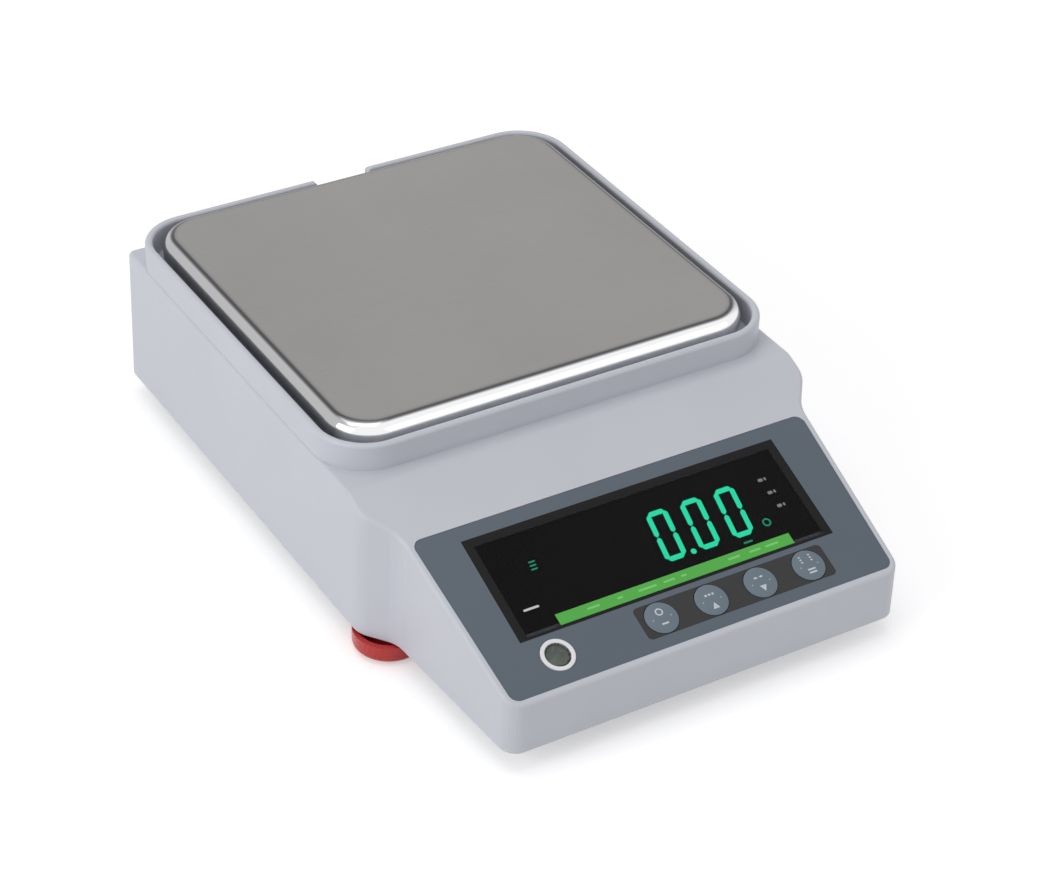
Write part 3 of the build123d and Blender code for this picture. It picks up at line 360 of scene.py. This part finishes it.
def pill(x, y, width, height, radius, steps=3):
    """Rounded rectangle by its middle."""
    return rounded(x - width / 2, y - height / 2, x + width / 2, y + height / 2, radius, steps)


def circle(x, y, radius, steps=16):
    angles = [2 * pi * n / steps for n in range(steps)]
    return [(x + radius * cos(a), y + radius * sin(a)) for a in angles]


def hoop(x, y, outer, inner, steps=28):
    """Two half-ring outlines that make a ring."""
    halves = []
    for start in (0, 180):
        angles = [radians(start + 180 * n / steps) for n in range(steps + 1)]
        half = [(x + outer * cos(a), y + outer * sin(a)) for a in angles]
        half += [(x + inner * cos(a), y + inner * sin(a)) for a in reversed(angles)]
        halves.append(half)
    return halves


def shrink(outline, amount):
    """The outline moved inwards by an amount."""
    result = []
    count = len(outline)
    for n in range(count):
        here = Vector(outline[n])
        a = (here - Vector(outline[n - 1])).normalized()
        b = (Vector(outline[(n + 1) % count]) - here).normalized()
        na = Vector((-a.y, a.x))
        nb = Vector((-b.y, b.x))
        scale = amount / max(0.3, 1 + na.dot(nb))
        result.append(tuple(here + (na + nb) * scale))
    return result


# Meshes

def close_loops(bm, loops):
    """A cap at each end, and walls from loop to loop."""
    bm.faces.new(list(reversed(loops[0])))
    bm.faces.new(loops[-1])
    count = len(loops[0])
    for low, high in zip(loops, loops[1:]):
        for n in range(count):
            m = (n + 1) % count
            bm.faces.new((low[n], low[m], high[m], high[n]))


def new_piece(name, bm, paint, body, sharp=30):
    """Piece that rides on a body; its edges over the sharp angle stay crisp."""
    mesh = bpy.data.meshes.new(name)
    bm.to_mesh(mesh)
    bm.free()
    piece = bpy.data.objects.new(name, mesh)
    scene.collection.objects.link(piece)
    mesh.materials.append(paint.mat)
    mesh.shade_smooth()
    mesh.set_sharp_from_angle(angle=radians(sharp))
    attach(piece, body)
    return piece


def panel_loop(bm, points):
    """Mesh points at places on the panel in mm."""
    return [bm.verts.new(PANEL @ Vector((x * MM, y * MM, z * MM))) for x, y, z in points]


def plates(name, outlines, low, high, paint, bevel=0.0):
    """Thin solids on the panel from height low to high, each from one outline."""
    bm = bmesh.new()
    for outline in outlines:
        rings = [(outline, low), (outline, high - bevel)]
        if bevel:
            rings.append((shrink(outline, bevel), high))
        close_loops(bm, [panel_loop(bm, [(x, y, z) for x, y in points]) for points, z in rings])
    return new_piece(name, bm, paint, "housing")


# Display

def bar(x, y, length, upright):
    """Segment outline: a strip with pointed ends, leaned with the digit."""
    side = STROKE / 2
    half = length / 2 - STROKE_GAP
    tip = half - STROKE * STROKE_TIP
    nose = side * STROKE_NOSE
    corners = [(-half, -nose), (-tip, -side), (tip, -side), (half, -nose)]
    corners += [(-u, -v) for u, v in corners]
    points = []
    for u, v in corners:
        px, py = (x - v, y + u) if upright else (x + u, y + v)
        points.append((px + (py - DIGIT_LOW) * DIGIT_LEAN, py))
    return points


def zero_digit(left):
    """Outlines of the six lit bars of a zero, and of its unlit middle bar."""
    wide = DIGIT_WIDTH - STROKE
    tall = (DIGIT_HEIGHT - STROKE) / 2
    x = left + DIGIT_WIDTH / 2
    y = DIGIT_LOW + STROKE / 2
    bars = [bar(x, y, wide, False), bar(x, y + 2 * tall, wide, False)]
    for side in (-1, 1):
        for level in (0.5, 1.5):
            bars.append(bar(x + side * wide / 2, y + tall * level, tall, True))
    return bars, bar(x, y + tall, wide, False)


def display_digits():
    """Three zeros with a point after the first, and the bars that stay dark."""
    point_y = DIGIT_LOW + POINT_UP
    lit_bars = []
    dark_bars = []
    for n in range(DIGIT_COUNT):
        bars, middle = zero_digit(DIGIT_FIRST_X + DIGIT_PITCH * n)
        lit_bars += bars
        dark_bars.append(middle)
    lit_bars.append(circle(POINT_X, point_y, POINT_RADIUS))
    dark_bars.append(circle(POINT_X + DIGIT_PITCH, point_y, POINT_RADIUS))

    lit_top = MODULE_FACE + LIT_HEIGHT
    dark_top = MODULE_FACE + UNLIT_HEIGHT
    digits = plates("display_digits", lit_bars, MODULE_FACE, lit_top, segment_lit, LIT_BEVEL)
    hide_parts("display_segments")
    plates("display_unlit_bars", dark_bars, MODULE_FACE, dark_top, segment_off)


def display_small_marks():
    """A dash under the last digit, three short bars at the left, and a ring at the right."""
    dash_x, dash_y = 36.0, 33.0
    bars_x, bars_y = -47.9, 51.2
    bars_rise = 1.6
    bars_shift = 0.2
    ring_x, ring_y = 47.7, 38.2

    marks = [pill(dash_x, dash_y, width=4.0, height=0.7, radius=0.3, steps=5)]
    for n in range(3):
        x = bars_x + bars_shift * n
        y = bars_y + bars_rise * n
        marks.append(pill(x, y, width=2.7, height=0.6, radius=0.25, steps=5))
    ring = hoop(ring_x, ring_y, outer=1.75, inner=1.2)
    top = MODULE_FACE + LIT_HEIGHT
    plates("display_small_bars", marks, MODULE_FACE, top, segment_dim, SMALL_BEVEL)
    plates("display_stable_mark", ring, MODULE_FACE, top, segment_dim)


# Print on the window and the overlay

def window_border():
    """Black border that hides the edge of the display module."""
    inner_low = WINDOW_LOW + BORDER_LOW
    inner_high = WINDOW_HIGH - BORDER
    inner_half = WINDOW_HALF - BORDER
    outlines = [
        rectangle(-WINDOW_HALF, WINDOW_LOW, WINDOW_HALF, inner_low),
        rectangle(-WINDOW_HALF, inner_high, WINDOW_HALF, WINDOW_HIGH),
        rectangle(-WINDOW_HALF, inner_low, -inner_half, inner_high),
        rectangle(inner_half, inner_low, WINDOW_HALF, inner_high),
    ]
    low = OVERLAY_TOP - PRINT_SUNK
    high = OVERLAY_TOP + BORDER_PROUD
    plates("window_mask", outlines, low, high, window_print)


def window_marks():
    """Green stripe with paler dashes, plain unit marks, and a mark at the left."""
    low = OVERLAY_TOP - PRINT_SUNK
    high = OVERLAY_TOP + PRINT_PROUD
    stripe = rectangle(-51.3, 25.5, 52.2, 30.3)
    plates("print_stripe", [stripe], low, high, print_green)

    dash_y = 28.05
    dash_places = ((-36.0, 5.5), (-24.5, 2.5), (-12.5, 8.0), (-3.0, 5.0), (3.5, 2.5), (26.0, 5.5),
                   (35.5, 5.0), (43.2, 6.0))
    pale = [pill(x, dash_y, width, height=0.9, radius=0.4) for x, width in dash_places]
    plates("print_stripe_marks", pale, high - PRINT_SUNK, high + DASH_PROUD, print_pale)

    unit_places = ((55.5, 55.2), (56.2, 48.9), (56.6, 42.4))
    units = []
    for x, y in unit_places:
        units.append(pill(x - 0.85, y, width=2.1, height=1.4, radius=0.5))
        units.append(pill(x + 1.25, y, width=0.9, height=1.4, radius=0.4))
    plates("print_unit_marks", units, low, high, print_grey)

    power = pill(-58.2, 35.75, width=6.6, height=0.9, radius=0.4)
    plates("print_power_mark", [power], low, high, print_white)


# Marks on the keys: a line, and plain symbols above and below it

def dome(x, y):
    """Height of a key's domed top over the panel, at a place from the key's middle."""
    sphere = (KEY_RADIUS**2 + KEY_DOME**2) / (2 * KEY_DOME)
    return KEY_TOP - sphere + (sphere**2 - x * x - y * y) ** 0.5


def key_marks(number, outlines):
    """Thin print that follows the dome of a key."""
    key_x = KEY_FIRST_X + KEY_PITCH * (number - 1)
    bm = bmesh.new()
    for outline in outlines:
        points = [(x * KEY_PRINT_SCALE, y * KEY_PRINT_SCALE) for x, y in outline]
        loops = []
        for up in (-KEY_PRINT, KEY_PRINT):
            loops.append(panel_loop(bm, [(key_x + x, KEY_ROW + y, dome(x, y) + up) for x, y in points]))
        close_loops(bm, loops)
    new_piece(f"key_{number}_marks", bm, print_white, f"key_{number}")


def dashes(y, widths, height, gap=0.45):
    """Row of short dashes, centred on the key."""
    x = -(sum(widths) + gap * (len(widths) - 1)) / 2
    result = []
    for width in widths:
        result.append(rounded(x, y - height / 2, x + width, y + height / 2, height * 0.4, steps=3))
        x += width + gap
    return result


def all_key_marks():
    divider = rectangle(-3.3, -0.42, 3.3, -0.08)
    up = [(-1.15, -3.3), (1.15, -3.3), (0, -1.2)]
    down = [(-1.15, -1.3), (0, -3.4), (1.15, -1.3)]
    ring = hoop(0, 1.9, outer=1.3, inner=0.85)
    above = [dash for y in (1.3, 2.3, 3.3) for dash in dashes(y, (4.2,), height=0.5)]
    below = [dash for y in (-1.7, -2.8) for dash in dashes(y, (2.8,), height=0.55)]
    key_marks(1, [divider] + ring + dashes(-2.3, (2.4,), height=0.6))
    key_marks(2, [divider, up] + dashes(1.7, (0.8, 0.8, 0.8), height=0.8))
    key_marks(3, [divider, down] + dashes(1.7, (3.2,), height=0.6))
    key_marks(4, [divider] + above + below)


# Feet

def stud_thread(side):
    """Screw thread inside the box of a plain foot stud, which it replaces."""
    stud = f"{side}_foot_stud"
    low, high = [Vector(v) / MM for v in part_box(stud)]
    radius = (high.x - low.x) / 2
    centre = (low + high) / 2
    length = high.z - low.z
    rows = int(length * THREAD_ROWS_PER_MM)
    bm = bmesh.new()
    loops = []
    for k in range(rows + 1):
        z = low.z + length * k / rows
        fade = min(1, k / THREAD_FADE_ROWS, (rows - k) / THREAD_FADE_ROWS)
        loop = []
        for n in range(THREAD_STEPS):
            angle = 2 * pi * n / THREAD_STEPS
            wave = (z / THREAD_PITCH - n / THREAD_STEPS) % 1
            r = radius - THREAD_DEPTH * (abs(2 * wave - 1) * fade + 1 - fade)
            x = centre.x + r * cos(angle)
            y = centre.y + r * sin(angle)
            loop.append(bm.verts.new((x * MM, y * MM, z * MM)))
        loops.append(loop)
    close_loops(bm, loops)
    piece = new_piece(f"{side}_stud_thread", bm, zinc, f"{side}_knob", sharp=40)
    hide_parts(stud)


# Stage, in metres

def seen_by_camera(tree):
    """One or more for rays from the camera, also by way of a mirror or a glass, and nought for others."""
    path = tree.nodes.new("ShaderNodeLightPath")
    total = path.outputs["Is Camera Ray"]
    for name in ("Is Glossy Ray", "Is Transmission Ray"):
        add = tree.nodes.new("ShaderNodeMath")
        add.operation = "ADD"
        tree.links.new(total, add.inputs[0])
        tree.links.new(path.outputs[name], add.inputs[1])
        total = add.outputs["Value"]
    return total


def white_floor():
    """Pale floor that keeps the object's shadow; its own glow is seen but lights nothing."""
    size = 12
    glow = 0.40
    bpy.ops.mesh.primitive_grid_add(x_subdivisions=2, y_subdivisions=2, size=size, location=(0, 0, 0))
    floor = bpy.context.object
    floor.name = "floor"
    paint = Paint("floor_white", (0.86, 0.86, 0.87, 1), rough=0.9)
    paint.set("Specular IOR Level", 0.1)
    paint.set("Emission Color", (1, 1, 1, 1))
    paint.drive("Emission Strength", paint.math("MULTIPLY", seen_by_camera(paint.tree), glow))
    floor.data.materials.append(paint.mat)


def white_world():
    """White all round; its light on the object is softer than it looks."""
    fill = 0.50
    seen = 1.0
    world = bpy.data.worlds.new("studio")
    scene.world = world
    world.use_nodes = True
    tree = world.node_tree
    background = tree.nodes["Background"]
    background.inputs["Color"].default_value = (1, 1, 1, 1)
    strength = tree.nodes.new("ShaderNodeMapRange")
    strength.inputs["To Min"].default_value = fill
    strength.inputs["To Max"].default_value = seen
    tree.links.new(seen_by_camera(tree), strength.inputs["Value"])
    tree.links.new(strength.outputs["Result"], background.inputs["Strength"])


def softbox(name, at, target, width, height, power):
    """Rectangular lamp that points at its target."""
    data = bpy.data.lights.new(name, "AREA")
    data.shape = "RECTANGLE"
    data.size = width
    data.size_y = height
    data.energy = power
    lamp = bpy.data.objects.new(name, data)
    scene.collection.objects.link(lamp)
    lamp.location = at
    lamp.rotation_euler = (Vector(target) - Vector(at)).to_track_quat("-Z", "Y").to_euler()


def photo_camera():
    """Camera at the photo's place and angle, which were solved from the body's straight edges."""
    sensor = 36.0
    photo_width = 1044
    focal_pixels = 2844.56
    data = bpy.data.cameras.new("camera")
    data.sensor_width = sensor
    data.lens = sensor * focal_pixels / photo_width
    data.clip_start = 0.05
    data.clip_end = 50
    camera = bpy.data.objects.new("camera", data)
    scene.collection.objects.link(camera)
    camera.location = (-0.49509, -0.79184, 0.68169)
    camera.rotation_euler = (radians(54.99), radians(-1.91), radians(-30.98))
    scene.camera = camera


paint_nodes()
display_digits()
display_small_marks()
window_border()
window_marks()
all_key_marks()
for side in ("left", "right"):
    stud_thread(side)

white_floor()
white_world()
softbox("light_front_right", (1.1, -1.5, 1.0), (0, 0, 0.05), width=1.6, height=1.0, power=2)
softbox("light_top", (-0.3, 0.2, 2.2), (0, 0, 0), width=1.8, height=1.8, power=11)
softbox("light_left", (-1.8, -0.2, 0.9), (0, 0, 0.05), width=1.2, height=1.0, power=11)
photo_camera()
scene.view_settings.view_transform = "Standard"
